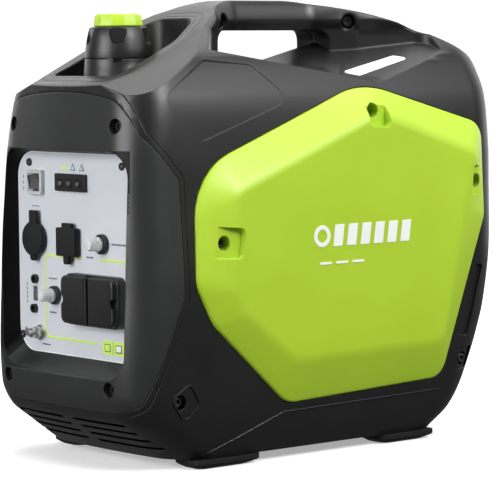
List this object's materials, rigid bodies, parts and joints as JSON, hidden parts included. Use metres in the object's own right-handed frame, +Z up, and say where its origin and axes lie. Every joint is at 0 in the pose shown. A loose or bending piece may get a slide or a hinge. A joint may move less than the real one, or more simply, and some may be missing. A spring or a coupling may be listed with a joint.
{
  "type": "inverter generator",
  "caption": "Portable suitcase inverter generator: black moulded shells, lime side covers, carry handle, fuel cap, light front control panel with sockets, recoil starter, engine inside.",
  "frame": {"origin": "Centre of the bounding box in plan, on the plane the feet stand on.", "axes": "+Z is up. +Y is the long horizontal way, toward the exhaust end; the control panel faces -Y. +X is the narrow way; the recoil starter is on -X."},
  "size_m": [0.29, 0.5116, 0.464],
  "materials": {
    "shell": "satin",
    "bezel": "satin",
    "lime": "gloss",
    "panel": "satin",
    "black": "satin",
    "rubber": "matte",
    "white": "satin",
    "steel": "satin",
    "dark_steel": "satin",
    "aluminium": "satin",
    "brass": "satin",
    "copper": "satin",
    "rope": "matte"
  },
  "bodies": {
    "housing": {"right_shell": "shell", "left_shell": "shell", "front_bezel": "bezel", "rear_cover": "shell", "base_tray": "shell", "right_side_cover": "lime", "left_side_cover": "lime", "fuel_tray": "black", "filler_collar": "black", "filler_neck": "steel", "fuel_tank": "black", "control_panel": "panel", "eco_switch_body": "black", "indicator_block": "black", "indicator_lamps": "white", "dc_socket": "black", "usb_socket": "black", "dc_breaker_body": "black", "ac_breaker_body": "black", "parallel_sockets": "black", "ac_outlet_box": "black", "ground_terminal": "brass", "rope_guide": "steel", "recoil_housing": "dark_steel", "engine_mounts": "rubber", "engine_crankcase": "aluminium", "engine_cylinder": "aluminium", "cylinder_head": "aluminium", "spark_plug": "white", "alternator_stator": "copper", "fan_shroud": "black", "air_filter_box": "black", "muffler": "steel", "exhaust_outlet": "steel", "inverter_module": "aluminium", "bezel_screw_1": "dark_steel", "bezel_screw_2": "dark_steel", "bezel_screw_3": "dark_steel", "bezel_screw_4": "dark_steel", "foot_front_left": "rubber", "foot_front_right": "rubber", "foot_rear_left": "rubber", "foot_rear_right": "rubber"},
    "cap_lift": {"fuel_cap_seal": "rubber"},
    "cap": {"fuel_cap": "black"},
    "vent_knob": {"fuel_cap_vent_knob": "lime"},
    "pull": {"starter_grip": "black", "starter_rope": "rope"},
    "pulley": {"recoil_pulley": "black"},
    "engine_switch": {"engine_switch_knob": "black"},
    "eco_rocker": {"eco_switch_rocker": "black"},
    "dc_button": {"dc_breaker_button": "white"},
    "ac_button": {"ac_breaker_button": "white"},
    "dc_cap": {"dc_socket_cap": "rubber"},
    "usb_cap": {"usb_socket_cap": "rubber"},
    "flap_left": {"outlet_flap_left": "black"},
    "flap_right": {"outlet_flap_right": "black"},
    "crank": {"crankshaft": "steel", "alternator_rotor": "steel", "cooling_fan": "black"}
  },
  "joints": [
    {"name": "fuel_cap_lift", "type": "slide", "parent": "housing", "child": "cap_lift", "axis": [0, 0, 1], "range_m": [0, 0.06]},
    {"name": "fuel_cap_turn", "type": "hinge", "parent": "cap_lift", "child": "cap", "pos_m": [0, -0.171, 0.4053], "axis": [0, 0, 1], "range_deg": [0, 90]},
    {"name": "vent_knob_turn", "type": "hinge", "parent": "cap", "child": "vent_knob", "pos_m": [0, -0.171, 0.4373], "axis": [0, 0, 1], "range_deg": [0, 90]},
    {"name": "starter_pull", "type": "slide", "parent": "housing", "child": "pull", "axis": [-1, 0, 0], "range_m": [0, 0.5], "stiffness_N_per_m": 10, "springref_m": -0.1},
    {"name": "recoil_turn", "type": "hinge", "parent": "housing", "child": "pulley", "pos_m": [0, -0.104, 0.121], "axis": [0, -1, 0], "range_deg": [0, 640]},
    {"name": "engine_switch_turn", "type": "hinge", "parent": "housing", "child": "engine_switch", "pos_m": [-0.138, -0.1, 0.238], "axis": [1, 0, 0], "range_deg": [0, 90]},
    {"name": "eco_rock", "type": "hinge", "parent": "housing", "child": "eco_rocker", "pos_m": [-0.065, -0.2258, 0.2805], "axis": [1, 0, 0], "range_deg": [0, 14]},
    {"name": "dc_breaker_push", "type": "slide", "parent": "housing", "child": "dc_button", "axis": [0, 1, 0], "range_m": [0, 0.002], "stiffness_N_per_m": 400},
    {"name": "ac_breaker_push", "type": "slide", "parent": "housing", "child": "ac_button", "axis": [0, 1, 0], "range_m": [0, 0.002], "stiffness_N_per_m": 400},
    {"name": "dc_cap_open", "type": "hinge", "parent": "housing", "child": "dc_cap", "pos_m": [-0.0665, -0.2313, 0.251], "axis": [-1, 0, 0], "range_deg": [0, 110]},
    {"name": "usb_cap_open", "type": "hinge", "parent": "housing", "child": "usb_cap", "pos_m": [-0.007, -0.231, 0.2407], "axis": [-1, 0, 0], "range_deg": [0, 110]},
    {"name": "outlet_flap_left_open", "type": "hinge", "parent": "housing", "child": "flap_left", "pos_m": [0.0335, -0.2406, 0.1665], "axis": [0, 0, 1], "range_deg": [0, 80], "stiffness_Nm_per_rad": 0.01, "springref_deg": -17.19},
    {"name": "outlet_flap_right_open", "type": "hinge", "parent": "housing", "child": "flap_right", "pos_m": [0.0425, -0.2406, 0.1665], "axis": [0, 0, -1], "range_deg": [0, 80], "stiffness_Nm_per_rad": 0.01, "springref_deg": -17.19},
    {"name": "crankshaft_spin", "type": "hinge", "parent": "housing", "child": "crank", "pos_m": [0, 0, 0.121], "axis": [0, 1, 0], "continuous": true}
  ],
  "couplings": [
    {"joint": "recoil_turn", "follows": "starter_pull", "rad_per_m": 22.222}
  ]
}
